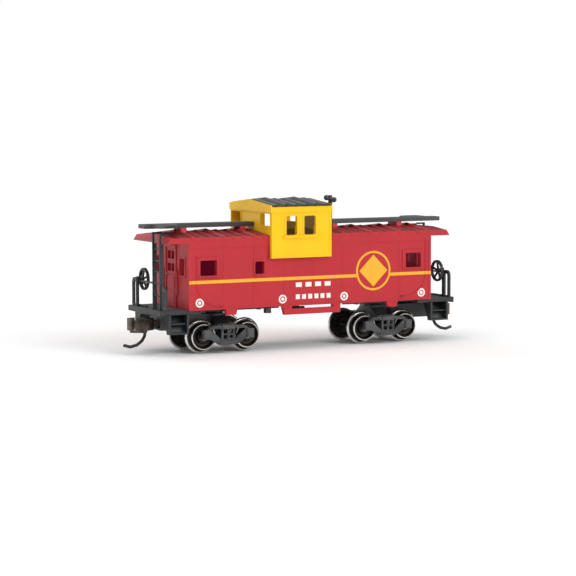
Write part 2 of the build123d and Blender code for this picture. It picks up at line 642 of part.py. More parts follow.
def truck_frame():
    """Both side frames, the bolster between them, and the coupler's tongue and box."""
    near = sideframe()
    pieces = [mirror(near, about=Plane.XZ)]
    pieces.append(block(-1.9, 1.9, -6.1, 6.1, BOLSTER_BOTTOM, 5.15))
    upper_block = [(-4.4, 5.0), (4.4, 5.0), (2.5, 6.4), (2.5, 6.9), (-2.5, 6.9), (-2.5, 6.4)]
    pieces.append(along_x(upper_block, -1.5, 1.5))
    pieces.append(rod_z(0, 0, 6.5, BOLSTER_TOP, 1.9))
    # tongue and box, open to the front and below
    start = BOX_X0 - TRUCK_CENTRE
    finish = BOX_X1 - TRUCK_CENTRE
    pieces.append(block(1.5, start + 0.5, -1.8, 1.8, 5.0, BOX_TOP - 0.1))
    box = block(start, finish, -BOX_HALF_WIDTH, BOX_HALF_WIDTH, BOX_FLOOR, BOX_TOP)
    inside = BOX_HALF_WIDTH - 0.6
    cavity = block(start + 0.9, finish + 1, -inside, inside, BOX_FLOOR - 1, BOX_CEILING)
    post = rod_z(COUPLER_PIVOT - TRUCK_CENTRE, 0, BOX_FLOOR, BOX_CEILING + 0.2, COUPLER_POST_R)
    frame = near + pieces + [box] - cavity + post
    cuts = [rod_z(0, 0, 3, 9, PIN_R + RUNNING_FIT)]
    for end in (-1, 1):
        for side in (-1, 1):
            cuts.append(bearing_cup(end * WHEELBASE / 2, side))
    return Pos(TRUCK_CENTRE, 0, 0) * (frame - cuts)


def axle(x):
    """A steel axle, pointed at both ends, with a thicker wheel seat."""
    profile = [(0, 0), (AXLE_R * 0.8, 0), (AXLE_R * 0.8, 3.2), (AXLE_R, 3.6), (AXLE_R, WHEEL_SEAT),
               (JOURNAL_R, WHEEL_SEAT), (JOURNAL_R, AXLE_TIP - JOURNAL_R), (0, AXLE_TIP)]
    half = Rot(90, 0, 0) * revolve(Plane.XZ * outline(profile), axis=Axis.Z)
    both = half + mirror(half, about=Plane.XZ)
    return Pos(x, 0, TREAD_R) * both


def wheel(x, side):
    """A flanged wheel with a dished plate, by its section in (radius, distance out)."""
    back = [(AXLE_R, 3.72), (1.35, 3.72), (1.5, 4.0), (2.2, 4.05), (2.35, 3.78), (3.2, 3.78), (3.35, 3.86)]
    flange_and_tread = [(FLANGE_R, 3.98), (3.35, 4.1), (3.1, 4.24), (2.75, 4.36), (2.65, 4.5), (2.6, 5.6)]
    face = [(2.5, 5.68), (2.18, 5.68), (2.05, 5.3), (1.9, 5.15), (1.45, 5.1), (1.25, 5.5), (AXLE_R, 5.55)]
    turned = revolve(Plane.XZ * outline(back + flange_and_tread + face), axis=Axis.Z)
    laid = Rot(90, 0, 0) * turned if side < 0 else Rot(-90, 0, 0) * turned
    return Pos(x, 0, TREAD_R) * laid


# ------------------------------------------------------------------ couplers
def box_lid():
    """The cover under the coupler's box, with its rib."""
    plate = block(BOX_X0 + 0.2, BOX_X1, -BOX_HALF_WIDTH, BOX_HALF_WIDTH, BOX_FLOOR - 0.4, BOX_FLOOR)
    rib = block(BOX_X0 + 1.5, BOX_X1 - 1.5, -0.5, 0.5, BOX_FLOOR - 0.55, BOX_FLOOR - 0.3)
    return plate + rib


def coupler_body():
    """The shank with its eye, the head with its guard arm, and the knuckle's lugs."""
    eye = rod_z(COUPLER_PIVOT, 0, SHANK_BOTTOM, SHANK_TOP, 1.35)
    shank = block(COUPLER_PIVOT + 0.5, 32.2, -0.8, 0.8, SHANK_BOTTOM, SHANK_TOP)
    lug_side = [(31.6, -0.8), (32.5, -1.6), (33.3, -1.9), (KNUCKLE_X, -1.9), (34.5, -1.6), (34.6, -0.9)]
    throat = [(34.25, -0.35), (34.15, 0.3), (34.35, 0.95), (35.1, 1.3)]
    guard_arm = [(36.1, 1.95), (36.35, 2.3), (36.05, 2.5), (34.9, 2.3), (33.4, 1.9), (32.4, 1.4), (31.6, 0.8)]
    head = along_z(lug_side + throat + guard_arm, HEAD_BOTTOM, HEAD_TOP)
    slot = rod_z(KNUCKLE_X, KNUCKLE_Y, SHANK_BOTTOM, SHANK_TOP - 0.15, 1.0)
    cuts = [rod_z(COUPLER_PIVOT, 0, 3, 8, COUPLER_POST_R + RUNNING_FIT), slot,
            rod_z(KNUCKLE_X, KNUCKLE_Y, 3, 8, KNUCKLE_PIN_R)]
    return eye + [shank, head] - cuts


def knuckle():
    """The swinging jaw: a hooked nose, a tongue between the lugs and a foot for the trip pin."""
    outside = [(34.5, -2.15), (35.7, -2.15), (36.35, -1.75), (36.6, -1.0), (36.5, -0.2), (36.15, 0.1)]
    inside = [(35.75, 0.05), (35.6, -0.35), (35.65, -0.85), (35.4, -1.15), (35.0, -1.2)]
    nose = along_z(outside + inside, HEAD_BOTTOM, HEAD_TOP)
    tongue_top = SHANK_TOP - 0.2
    tongue_bottom = SHANK_BOTTOM + 0.05
    arm = [(KNUCKLE_X, -1.8), (35.2, -2.1), (35.5, -1.2), (KNUCKLE_X, -0.5)]
    eye = rod_z(KNUCKLE_X, KNUCKLE_Y, tongue_bottom, tongue_top, 0.66)
    tongue = along_z(arm, tongue_bottom, tongue_top) + eye
    foot_plan = [(35.7, -1.9), (35.8, -1.2), (33.6, 0.4), (32.9, 0.35), (32.9, -0.35), (34.8, -1.95)]
    foot = along_z(foot_plan, FOOT_BOTTOM, FOOT_TOP)
    link_plan = [(35.0, -1.95), (35.7, -1.9), (35.8, -1.2), (35.4, -1.2)]
    link = along_z(link_plan, FOOT_TOP - 0.1, HEAD_BOTTOM + 0.2)
    lug_r = 0.95
    lugs = [rod_z(KNUCKLE_X, KNUCKLE_Y, HEAD_BOTTOM - 0.1, SHANK_BOTTOM, lug_r)]
    lugs.append(rod_z(KNUCKLE_X, KNUCKLE_Y, tongue_top, 7, lug_r))
    bore = rod_z(KNUCKLE_X, KNUCKLE_Y, 3, 8, KNUCKLE_PIN_R + RUNNING_FIT)
    seat = rod_z(TRIP_X, 0, FOOT_TOP - 0.3, FOOT_TOP + 1, TRIP_R)
    solid = nose - lugs + [tongue, foot, link]
    return solid - [bore, seat]


def trip_pin():
    """A bent steel wire that hangs from the knuckle's foot and curls forward over the track."""
    route = [(TRIP_X, 0, FOOT_TOP), (TRIP_X, 0, 2.9), (33.9, 0, 1.9), (35.0, 0, 1.12), (36.4, 0, 0.8),
             (37.62, 0, 1.15)]
    path = FilletPolyline(*route, radius=0.9)
    section = Plane(origin=path @ 0, z_dir=path % 0) * Circle(TRIP_R)
    tip = Pos(*route[-1]) * Sphere(TRIP_R)
    return sweep(section, path=path) + tip


def knuckle_pin():
    """The pin that the knuckle swings on, pressed into the head's lugs."""
    return rod_z(KNUCKLE_X, KNUCKLE_Y, HEAD_BOTTOM, HEAD_TOP + 0.12, KNUCKLE_PIN_R)


def centring_spring():
    """The small coil behind the coupler's eye, lying along the box."""
    coil_r = 0.5
    wire_r = 0.09
    path = Helix(pitch=0.4, height=1.6, radius=coil_r)
    start = Plane(origin=path @ 0, z_dir=path % 0)
    coil = sweep(start * Circle(wire_r), path=path, is_frenet=True)
    return Pos(22.5, 0, 5.15) * Rot(0, 90, 0) * coil


# ------------------------------------------------------------------ write every piece
save("body_shell", body_shell())
save("cupola_shell", cupola_shell())
save("cupola_roof", cupola_roof())
save("smoke_jack", smoke_jack())
save("roofwalk_b", roofwalk(CUPOLA_X1))
save("roofwalk_a", half_turn(roofwalk(-CUPOLA_X0)))
save("underframe", underframe())
save("weight", weight())
railing, gate_post = end_railing()
save_ends("end_platform", end_platform())
save_ends("steps_right", steps())
save_ends("steps_left", mirror(steps(), about=Plane.XZ))
save_ends("end_railing", railing)
save_ends("gate_post", gate_post)
save_ends("ladder", ladder())
save_ends("brake_staff", brake_staff())
save_ends("brake_wheel", brake_wheel())
save_ends("kingpin", kingpin())
save_ends("truck_frame", truck_frame())
save_ends("coupler_lid", box_lid())
save_ends("coupler", coupler_body())
save_ends("knuckle", knuckle())
save_ends("knuckle_pin", knuckle_pin())
save_ends("trip_pin", trip_pin())
save_ends("coupler_spring", centring_spring())
for place, x in (("inner", TRUCK_CENTRE - WHEELBASE / 2), ("outer", TRUCK_CENTRE + WHEELBASE / 2)):
    save_ends("axle_" + place, axle(x))
    save_ends("wheel_" + place + "_right", wheel(x, -1))
    save_ends("wheel_" + place + "_left", wheel(x, 1))
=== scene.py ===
"""The looks of the model caboose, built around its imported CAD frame.

Sizes are in millimetres in this file and turned into metres by MM. Heights are given
above the rail top, as on the drawing of the car, and RAIL lifts them into the frame.
"""
import json
import math

import bmesh
import bpy
from mathutils import Matrix, Vector


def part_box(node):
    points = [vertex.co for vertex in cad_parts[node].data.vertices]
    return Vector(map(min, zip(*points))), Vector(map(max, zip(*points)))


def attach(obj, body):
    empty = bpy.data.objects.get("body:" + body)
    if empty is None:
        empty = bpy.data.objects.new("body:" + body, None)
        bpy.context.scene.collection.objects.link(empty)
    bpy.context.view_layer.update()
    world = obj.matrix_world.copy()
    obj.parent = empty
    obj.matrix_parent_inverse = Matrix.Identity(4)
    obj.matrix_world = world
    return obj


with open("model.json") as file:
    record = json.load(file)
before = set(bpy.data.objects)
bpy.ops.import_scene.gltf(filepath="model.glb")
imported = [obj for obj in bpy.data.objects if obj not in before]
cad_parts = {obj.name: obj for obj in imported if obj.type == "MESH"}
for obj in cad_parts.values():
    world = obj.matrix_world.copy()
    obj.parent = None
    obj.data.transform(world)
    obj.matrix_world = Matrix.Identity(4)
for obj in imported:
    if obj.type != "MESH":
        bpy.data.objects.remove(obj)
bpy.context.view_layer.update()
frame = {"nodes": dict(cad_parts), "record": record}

MM = 0.001
RAIL = 0.765

# The parts of the body side that the painted marks and sills lie on, as in the CAD model.
SIDE_FACE = 8.54
HALF_LENGTH = 27.5
PANEL = 6.65
RIB_PITCH = PANEL / 3
BATTEN_HALF = 0.16
BATTEN_PROUD = 0.04
BATTENS = range(-3, 4)
CORNER_FROM = 26.9
CORNER_PROUD = 0.09
IRON_POSTS = (-25.85, 26.2)
IRON_R = 0.16
# Each side window's sill as (x0, x1, top), for the -Y side.
SIDE_SILLS = [(-25.5, -21.1, 14.95), (-13.35, -10.95, 14.85), (21.0, 25.4, 15.0)]
SILL_PROUD = 0.3
SILL_HEIGHT = 0.28
# The knob of each end door: its place on the door, and its radius.
KNOB_Y = -1.75
KNOB_Z = 14.9
KNOB_R = 0.2

# The hollows inside the shells, as each axis with its middle and half size.
BODY_HOLLOW = (("X", 0.0, 26.55), ("Y", 0.0, 7.59), ("Z", 14.8 + RAIL, 6.62))
CUPOLA_HOLLOW = (("X", -3.15, 5.78), ("Y", 0.0, 8.47), ("Z", 24.6 + RAIL, 3.1))
WELL_HOLLOW = (("X", -3.15, 5.74), ("Y", 0.0, 8.43), ("Z", 24.3 + RAIL, 3.0))

# Painted marks: how thick the paint is, how far its back reaches into the wall, and where each mark is.
PAINT = 0.022
PAINT_ROOT = 0.03
STRIPE_Z = 13.76
STRIPE_HALF = 0.32
EMBLEM_X = 13.8
EMBLEM_Z = 14.65
EMBLEM_R = 4.03
EMBLEM_RIM = 0.42
EMBLEM_GAP = 0.35
DATA_X0, DATA_X1 = -4.05, 3.85
# Each row of data bars as (bottom, top, count, width).
DATA_ROWS = ((12.0, 12.9, 4, 1.35), (9.55, 10.5, 6, 0.9))
DISC_PLACES = (-25.2, -7.0, 7.0, 25.2)
DISC_Z = 9.7
DISC_RADII = (0.88, 0.56, 0.34)

# Where a wheel's painted highlights on its rim and flange begin: radii from the axle, and distance from the
# centre line.
FLANGE_EDGE = (3.0, 3.06)
TREAD_EDGE = (2.38, 2.44)
RIM_FACE = (5.42, 5.5)

# How strongly the white room lights the model, compared with how bright it looks behind it.
AMBIENT = 0.42

# The camera: where it stands, its lens, and how it is turned, in degrees.
EYE = (-185.08, -358.36, 45.80 + RAIL)
LENS = 123.32
AZIMUTH = -27.134
ELEVATION = 4.932
ROLL = -0.111


# ------------------------------------------------------------------ materials
def linear(r, g, b):
    """An sRGB colour, 0 to 255, as the linear colour that shaders take."""
    out = []
    for c in (r, g, b):
        c = c / 255
        out.append(c / 12.92 if c <= 0.04045 else ((c + 0.055) / 1.055) ** 2.4)
    return (*out, 1.0)


class Shader:
    """A Principled material with short ways to add the nodes used here."""

    def __init__(self, name):
        self.material = bpy.data.materials.new(name)
        self.material.use_nodes = True
        self.tree = self.material.node_tree
        self.bsdf = self.tree.nodes["Principled BSDF"]
        self.coords = self.node("ShaderNodeTexCoord").outputs["Object"]

    def node(self, kind, **settings):
        made = self.tree.nodes.new(kind)
        for key, value in settings.items():
            setattr(made, key, value)
        return made

    def link(self, out, into):
        self.tree.links.new(out, into)

    def noise(self, size_mm, detail, stretch=(1, 1, 1)):
        """Noise with features of about size_mm."""
        mapping = self.node("ShaderNodeMapping")
        mapping.inputs["Scale"].default_value = stretch
        self.link(self.coords, mapping.inputs["Vector"])
        noise = self.node("ShaderNodeTexNoise")
        noise.inputs["Scale"].default_value = 1 / (size_mm * MM)
        noise.inputs["Detail"].default_value = detail
        self.link(mapping.outputs["Vector"], noise.inputs["Vector"])
        return noise.outputs["Fac"]

    def ramp(self, value, low, high, from_low=0.3, from_high=0.7):
        """A number from low to high as value goes from from_low to from_high."""
        change = self.node("ShaderNodeMapRange")
        change.inputs["From Min"].default_value = from_low
        change.inputs["From Max"].default_value = from_high
        change.inputs["To Min"].default_value = low
        change.inputs["To Max"].default_value = high
        self.link(value, change.inputs["Value"])
        return change.outputs["Result"]

    def mix(self, factor, first, second):
        """A colour between first and second; each is a colour or another node's output."""
        mix = self.node("ShaderNodeMix", data_type="RGBA")
        for value, socket in ((factor, mix.inputs[0]), (first, mix.inputs[6]), (second, mix.inputs[7])):
            if isinstance(value, bpy.types.NodeSocket):
                self.link(value, socket)
            else:
                socket.default_value = value
        return mix.outputs[2]

    def compute(self, operation, first, second=None):
        """One Math node: each value is a number or another node's output."""
        made = self.node("ShaderNodeMath", operation=operation)
        for value, socket in ((first, made.inputs[0]), (second, made.inputs[1])):
            if isinstance(value, bpy.types.NodeSocket):
                self.link(value, socket)
            elif value is not None:
                socket.default_value = value
        return made.outputs[0]

    def split(self, vector):
        """The X, Y and Z of a vector."""
        made = self.node("ShaderNodeSeparateXYZ")
        self.link(vector, made.inputs[0])
        return made.outputs

    def upward(self, low, high):
        """0 on walls and 1 on faces that look up, between two heights of the normal."""
        normal = self.node("ShaderNodeNewGeometry").outputs["True Normal"]
        return self.ramp(self.split(normal)["Z"], 0.0, 1.0, low, high)

    def bump(self, height, strength, distance_mm, after=None):
        """A normal bent by a height, on top of an earlier one if there is one."""
        bump = self.node("ShaderNodeBump")
        bump.inputs["Strength"].default_value = strength
        bump.inputs["Distance"].default_value = distance_mm * MM
        self.link(height, bump.inputs["Height"])
        if after is not None:
            self.link(after, bump.inputs["Normal"])
        return bump.outputs["Normal"]

    def finish(self, colour, roughness, normal=None, metallic=0.0, shine=0.5):
        """Sets the shader's main inputs, each a value or another node's output."""
        bsdf = self.bsdf
        for value, key in ((colour, "Base Color"), (roughness, "Roughness"), (metallic, "Metallic")):
            if isinstance(value, bpy.types.NodeSocket):
                self.link(value, bsdf.inputs[key])
            else:
                bsdf.inputs[key].default_value = value
        if normal is not None:
            self.link(normal, bsdf.inputs["Normal"])
        bsdf.inputs["Specular IOR Level"].default_value = shine
        return self.material


def scaled(colour, k):
    """A linear colour made k times as bright."""
    return (colour[0] * k, colour[1] * k, colour[2] * k, 1.0)


def mottled(s, colour, fine):
    """The broad noise under a moulding's mottling, and its colour with both broad and fine mottling."""
    broad = s.noise(6.0, 4.0)
    base = s.mix(s.ramp(broad, 0.0, 1.0), scaled(colour, 0.95), scaled(colour, 1.05))
    return broad, s.mix(s.ramp(fine, 0.0, 0.35), base, scaled(colour, 0.9))


def moulded(name, colour, roughness, edge_sheen):
    """Painted or self-coloured moulded plastic: faint mottling, a fine grain and painted highlights on its
    sharp edges.
    """
    s = Shader(name)
    fine = s.noise(0.5, 3.0)
    broad, base = mottled(s, colour, fine)
    edge = s.node("ShaderNodeNewGeometry").outputs["Pointiness"]
    # Sharp edges lightened towards grey: painted highlights.
    base = s.mix(s.ramp(edge, 0.0, edge_sheen, 0.52, 0.6), base, (0.5, 0.5, 0.5, 1.0))
    rough = s.ramp(fine, roughness - 0.05, roughness + 0.07)
    skin = s.bump(s.noise(0.12, 2.0), 0.25, 0.006)
    return s.finish(base, rough, s.bump(broad, 0.25, 0.02, skin))


def on_ribs(s):
    """1 on the crowns of the roof's ribs, which repeat evenly along the car, and 0 in the valleys: where
    the roofs' painted highlights and painted shade go.
    """
    swing = s.compute("PINGPONG", s.split(s.coords)["X"], RIB_PITCH * MM / 2)
    return s.ramp(swing, 1.0, 0.0, 0.3 * MM, 0.5 * MM)


def ribbed_black(name, valley, crown, roughness):
    """The black roof: painted highlights on the crowns of its up-facing ribs, and painted shade in the
    valleys between them.
    """
    s = Shader(name)
    broad = s.noise(2.5, 4.0)
    fine = s.noise(0.5, 3.0)
    # Painted highlights on the crowns of up-facing ribs; the valleys keep the painted shade colour.
    rib_highlight = s.compute("MULTIPLY", on_ribs(s), s.upward(0.5, 0.95))
    low = s.mix(s.ramp(broad, 0.0, 1.0), scaled(valley, 0.85), valley)
    high = s.mix(s.ramp(broad, 0.0, 1.0), scaled(crown, 0.8), crown)
    rough = s.ramp(fine, roughness - 0.05, roughness + 0.07)
    return s.finish(s.mix(rib_highlight, low, high), rough, s.bump(s.noise(0.12, 2.0), 0.25, 0.006))


def within_hollow(s, hollow):
    """1 inside a hollow and on the faces that line it, and 0 outside it."""
    place = s.split(s.coords)
    within = None
    for axis, middle, half in hollow:
        size = s.compute("ABSOLUTE", s.compute("SUBTRACT", place[axis], middle * MM))
        here = s.ramp(size, 1.0, 0.0, (half + 0.02) * MM, (half + 0.06) * MM)
        within = here if within is None else s.compute("MULTIPLY", within, here)
    return within


def shell_plastic(name, colour, linings, roughness, roof_shade_level):
    """The shell's plastic: painted outside, with painted shade on its upward faces, painted highlights on
    the roof ribs' crowns, and a painted glow inside.

    Each lining is a hollow, the colour of the faces that line it, and a painted glow on those faces:
    emission that stands in for the light inside the hollow.
    """
    s = Shader(name)
    fine = s.noise(0.5, 3.0)
    broad, base = mottled(s, colour, fine)
    # Painted light on faces that look up: painted shade darkens them, the rib crowns are painted lighter
    # than the valleys as highlights, and random darker patches lie over both.
    crown = scaled(colour, roof_shade_level * 1.25)
    valley = scaled(colour, roof_shade_level * 0.62)
    roof_shade_sheen_and_mottle = s.mix(on_ribs(s), valley, crown)
    roof_shade_sheen_and_mottle = s.mix(s.ramp(s.noise(2.2, 5.0), 0.0, 0.3), roof_shade_sheen_and_mottle, valley)
    base = s.mix(s.upward(0.35, 0.85), base, roof_shade_sheen_and_mottle)
    # Painted glow: emission that stands in for light inside the hollows.
    glow = (0, 0, 0, 1)
    for hollow, bare, light in linings:
        within = within_hollow(s, hollow)
        base = s.mix(within, base, bare)
        glow = s.mix(within, glow, light)
    s.link(glow, s.bsdf.inputs["Emission Color"])
    s.bsdf.inputs["Emission Strength"].default_value = 1.0
    rough = s.ramp(fine, roughness - 0.05, roughness + 0.07)
    skin = s.bump(s.noise(0.12, 2.0), 0.3, 0.006)
    return s.finish(base, rough, s.bump(broad, 0.25, 0.02, skin), shine=0.22)


def paint_film(name, colour):
    """Printed paint: dense, and a little shinier than the plastic under it."""
    s = Shader(name)
    fine = s.noise(0.35, 3.0)
    base = s.mix(s.ramp(fine, 0.0, 1.0), scaled(colour, 0.94), colour)
    return s.finish(base, s.ramp(fine, 0.38, 0.48), s.bump(s.noise(0.1, 2.0), 0.2, 0.004))


def metal(name, colour, roughness, dark=None, metallic=1.0, brush=(1, 1, 1)):
    """Bare or blackened metal with turning marks and small stains."""
    s = Shader(name)
    marks = s.noise(0.25, 3.0, brush)
    stain = s.noise(1.6, 4.0)
    base = s.mix(s.ramp(stain, 0.0, 1.0, 0.35, 0.65), colour, dark or scaled(colour, 0.7))
    rough = s.ramp(marks, roughness - 0.06, roughness + 0.1)
    return s.finish(base, rough, s.bump(marks, 0.3, 0.01), metallic=metallic)


def wheel_metal(name, axle_x, axle_z):
    """A wheel: painted highlights of bright metal on the flange's edge and the tread's outer edge, a
    painted dark reflection on the rest of the tread, and a blackened, faintly turned face.
    """
    s = Shader(name)
    place = s.split(s.coords)
    away = []
    for axis, centre in (("X", axle_x), ("Z", axle_z)):
        less = s.compute("SUBTRACT", place[axis], centre * MM)
        away.append(s.compute("MULTIPLY", less, less))
    radius = s.compute("SQRT", s.compute("ADD", away[0], away[1]))
    flange_edge = s.ramp(radius, 0.0, 1.0, FLANGE_EDGE[0] * MM, FLANGE_EDGE[1] * MM)
    tread_edge = s.ramp(radius, 0.0, 1.0, TREAD_EDGE[0] * MM, TREAD_EDGE[1] * MM)
    outside = s.ramp(s.compute("ABSOLUTE", place["Y"]), 0.0, 1.0, RIM_FACE[0] * MM, RIM_FACE[1] * MM)
    # Painted highlights: bright metal on the flange's edge and the tread's outer edge; the tread between
    # stays dark, a painted dark reflection.
    rim_highlight = s.compute("MAXIMUM", flange_edge, s.compute("MULTIPLY", tread_edge, outside))
    rings = s.node("ShaderNodeTexWave", wave_type="RINGS", rings_direction="Y")
    rings.inputs["Scale"].default_value = 900
    rings.inputs["Distortion"].default_value = 1.0
    from_axle = s.node("ShaderNodeMapping")
    from_axle.inputs["Location"].default_value = (-axle_x * MM, 0, -axle_z * MM)
    s.link(s.coords, from_axle.inputs["Vector"])
    s.link(from_axle.outputs["Vector"], rings.inputs["Vector"])
    stain = s.noise(0.8, 4.0)
    dull = s.mix(s.ramp(stain, 0.0, 1.0), WHEEL_FACE, scaled(WHEEL_FACE, 0.55))
    bright = s.mix(s.ramp(stain, 0.0, 1.0), WHEEL_RIM_SHINE, scaled(WHEEL_RIM_SHINE, 0.75))
    rough = s.ramp(rim_highlight, 0.42, 0.2, 0.0, 1.0)
    normal = s.bump(rings.outputs["Fac"], 0.12, 0.01)
    return s.finish(s.mix(rim_highlight, dull, bright), rough, normal, metallic=1.0)


RED = linear(187, 47, 55)
YELLOW = linear(250, 199, 22)
GOLD = linear(247, 178, 28)
WHITE = linear(244, 240, 235)
# The wheels' bright metal, used for the painted rim highlights, and their dark metal: the blackened face,
# and on the tread a painted dark reflection.
WHEEL_RIM_SHINE = linear(235, 233, 228)
WHEEL_FACE = linear(60, 56, 52)
COUPLER = linear(112, 104, 92)
# Each lining: its hollow, the colour of the faces in it, and a painted glow, an emission standing in for
# light inside. The well's and the cupola's colours are darker yellows: painted shade inside the cupola.
BODY_LINING = (BODY_HOLLOW, linear(150, 30, 40), (0.055, 0.0016, 0.009, 1.0))
WELL_LINING = (WELL_HOLLOW, linear(80, 62, 24), (0.04, 0.024, 0.005, 1.0))
CUPOLA_LINING = (CUPOLA_HOLLOW, linear(150, 116, 30), (0.075, 0.046, 0.01, 1.0))

materials = {
    # The last number darkens each shell's upward faces: painted shade.
    "shell_red": shell_plastic("shell_red", RED, [BODY_LINING, WELL_LINING], 0.42, 0.52),
    "cupola_yellow": shell_plastic("cupola_yellow", YELLOW, [CUPOLA_LINING], 0.42, 0.9),
    # The black roof's first colour is painted shade in the valleys, the second a painted highlight on the
    # rib crowns.
    "roof_black": ribbed_black("roof_black", linear(44, 45, 44), linear(118, 119, 112), 0.5),
    # The last number of each moulding sets how strong its painted edge highlights are.
    "walk_grey": moulded("walk_grey", linear(62, 64, 65), 0.55, edge_sheen=0.05),
    "platform_grey": moulded("platform_grey", linear(31, 35, 37), 0.48, edge_sheen=0.02),
    "frame_black": moulded("frame_black", linear(24, 26, 28), 0.5, edge_sheen=0.04),
    "truck_black": moulded("truck_black", linear(46, 49, 52), 0.42, edge_sheen=0.08),
    "axle_steel": metal("axle_steel", linear(150, 146, 140), 0.3, brush=(1, 6, 1)),
    "coupler_metal": metal("coupler_metal", COUPLER, 0.42, dark=linear(66, 58, 50), metallic=0.7),
    "trip_steel": metal("trip_steel", linear(64, 66, 66), 0.34, dark=linear(40, 41, 41), metallic=0.8),
    "spring_steel": metal("spring_steel", linear(170, 168, 162), 0.25),
    "weight_steel": metal("weight_steel", linear(150, 150, 152), 0.4, brush=(8, 1, 1)),
}
stripe_paint = paint_film("stripe_paint", GOLD)
white_paint = paint_film("white_paint", WHITE)


# ------------------------------------------------------------------ CAD nodes
# How far each slot's edges are rounded.
EDGE_WIDTHS = {"shell_red": 0.06, "cupola_yellow": 0.07, "roof_black": 0.05, "walk_grey": 0.08,
               "platform_grey": 0.06, "truck_black": 0.05, "coupler_metal": 0.09, "frame_black": 0.05}
# The wheel finishes made so far, by the x of their axle in millimetres.
wheel_finishes = {}


def soften(node, width_mm):
    """Rounds a CAD node's sharp edges the little that a moulding has, and shades it smooth."""
    weld = node.modifiers.new("weld", "WELD")
    weld.merge_threshold = 0.0005 * MM
    bevel = node.modifiers.new("soft_edges", "BEVEL")
    bevel.width = width_mm * MM
    bevel.segments = 2
    bevel.limit_method = "ANGLE"
    bevel.angle_limit = math.radians(32)
    bevel.harden_normals = False
    bevel.miter_outer = "MITER_ARC"
    bevel.use_clamp_overlap = True
    weigh = node.modifiers.new("flat_faces", "WEIGHTED_NORMAL")
    weigh.keep_sharp = True
    weigh.weight = 80


def smooth_by_angle(node):
    """Smooth shading, with edges sharper than 30 degrees kept crisp."""
    for polygon in node.data.polygons:
        polygon.use_smooth = True
    node.data.set_sharp_from_angle(angle=math.radians(30))


def wheel_finish(name):
    """One finish for each axle, because the painted rim highlights are found by their distance from the
    axle.
    """
    low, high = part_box(name)
    centre = (low + high) / (2 * MM)
    key = round(centre.x, 2)
    if key not in wheel_finishes:
        wheel_finishes[key] = wheel_metal("wheel_metal_%d" % len(wheel_finishes), centre.x, centre.z)
    return wheel_finishes[key]


def dress_cad_nodes():
    """Every CAD node gets its slot's material and smooth shading, and the nodes of the slots in EDGE_WIDTHS
    get softened edges.
    """
    for entry in frame["record"]["subparts"]:
        name = entry["node"]
        slot = entry["material_slot"]
        node = frame["nodes"][name]
        finish = wheel_finish(name) if slot == "wheel_metal" else materials[slot]
        node.data.materials.clear()
        node.data.materials.append(finish)
        smooth_by_angle(node)
        if slot in EDGE_WIDTHS:
            soften(node, EDGE_WIDTHS[slot])


# ------------------------------------------------------------------ painted marks
def relief(x):
    """How far the side stands proud at x: corner strips and the battens over panel joints."""
    if abs(x) > CORNER_FROM:
        return CORNER_PROUD
    nearest = round(x / PANEL)
    if nearest in BATTENS and abs(x - nearest * PANEL) < BATTEN_HALF:
        return BATTEN_PROUD
    return 0.0


def relief_edges():
    """Every x where the relief steps."""
    edges = [-CORNER_FROM, CORNER_FROM]
    for number in BATTENS:
        edges += [number * PANEL - BATTEN_HALF, number * PANEL + BATTEN_HALF]
    return edges


def flat_mesh(loops):
    """A flat mesh in (x, z) from closed outlines: the first is the outside, the rest are holes."""
    bm = bmesh.new()
    edges = []
    for loop in loops:
        verts = [bm.verts.new((x, 0, z)) for x, z in loop]
        for i, v in enumerate(verts):
            edges.append(bm.edges.new((v, verts[(i + 1) % len(verts)])))
    bmesh.ops.triangle_fill(bm, edges=edges, use_beauty=True, normal=(0, -1, 0))
    return bm


def mark(name, loops, material, side):
    """A painted mark on a body side: it follows the battens, and is as thin as a coat of paint."""
    bm = flat_mesh(loops)
    step = 0.004
    for edge in relief_edges():
        for x in (edge - step, edge + step):
            geometry = bm.verts[:] + bm.edges[:] + bm.faces[:]
            bmesh.ops.bisect_plane(bm, geom=geometry, plane_co=(x, 0, 0), plane_no=(1, 0, 0))
    bmesh.ops.recalc_face_normals(bm, faces=bm.faces)
    for face in bm.faces:
        if face.normal.y > 0:
            face.normal_flip()
    for v in bm.verts:
        v.co.y = -(SIDE_FACE + relief(v.co.x) + PAINT)
    back = bmesh.ops.extrude_face_region(bm, geom=bm.faces[:])
    moved = [v for v in back["geom"] if isinstance(v, bmesh.types.BMVert)]
    for v in moved:
        v.co.y += PAINT + PAINT_ROOT
    bmesh.ops.recalc_face_normals(bm, faces=bm.faces)
    return piece(name, bm, material, side=side)


def piece(name, bm, material, smooth=False, side=-1):
    """Turns a bmesh in drawing millimetres into an object on the car's body.

    A piece for the +Y side is drawn on the -Y side and given half a turn.
    """
    if side > 0:
        bm.transform(Matrix.Rotation(math.pi, 4, "Z"))
    bm.transform(Matrix.Translation((0, 0, RAIL)))
    bm.transform(Matrix.Scale(MM, 4))
    mesh = bpy.data.meshes.new(name)
    bm.to_mesh(mesh)
    bm.free()
    obj = bpy.data.objects.new(name, mesh)
    bpy.context.scene.collection.objects.link(obj)
    mesh.materials.append(material)
    if smooth:
        smooth_by_angle(obj)
    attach(obj, "root")
    return obj


def circle(x, z, r, count=72):
    return [(x + r * math.cos(2 * math.pi * i / count), z + r * math.sin(2 * math.pi * i / count))
            for i in range(count)]


def rectangle(x0, x1, z0, z1):
    return [(x0, z0), (x1, z0), (x1, z1), (x0, z1)]


def over_iron(name, x, z0, z1, side):
    """The stripe's paint where it crosses a moulded grab iron."""
    bm = bmesh.new()
    r = IRON_R + PAINT
    bmesh.ops.create_cone(bm, cap_ends=True, segments=24, radius1=r, radius2=r, depth=z1 - z0)
    bm.transform(Matrix.Translation((x, -SIDE_FACE, z0 + (z1 - z0) / 2)))
    return piece(name, bm, stripe_paint, smooth=True, side=side)


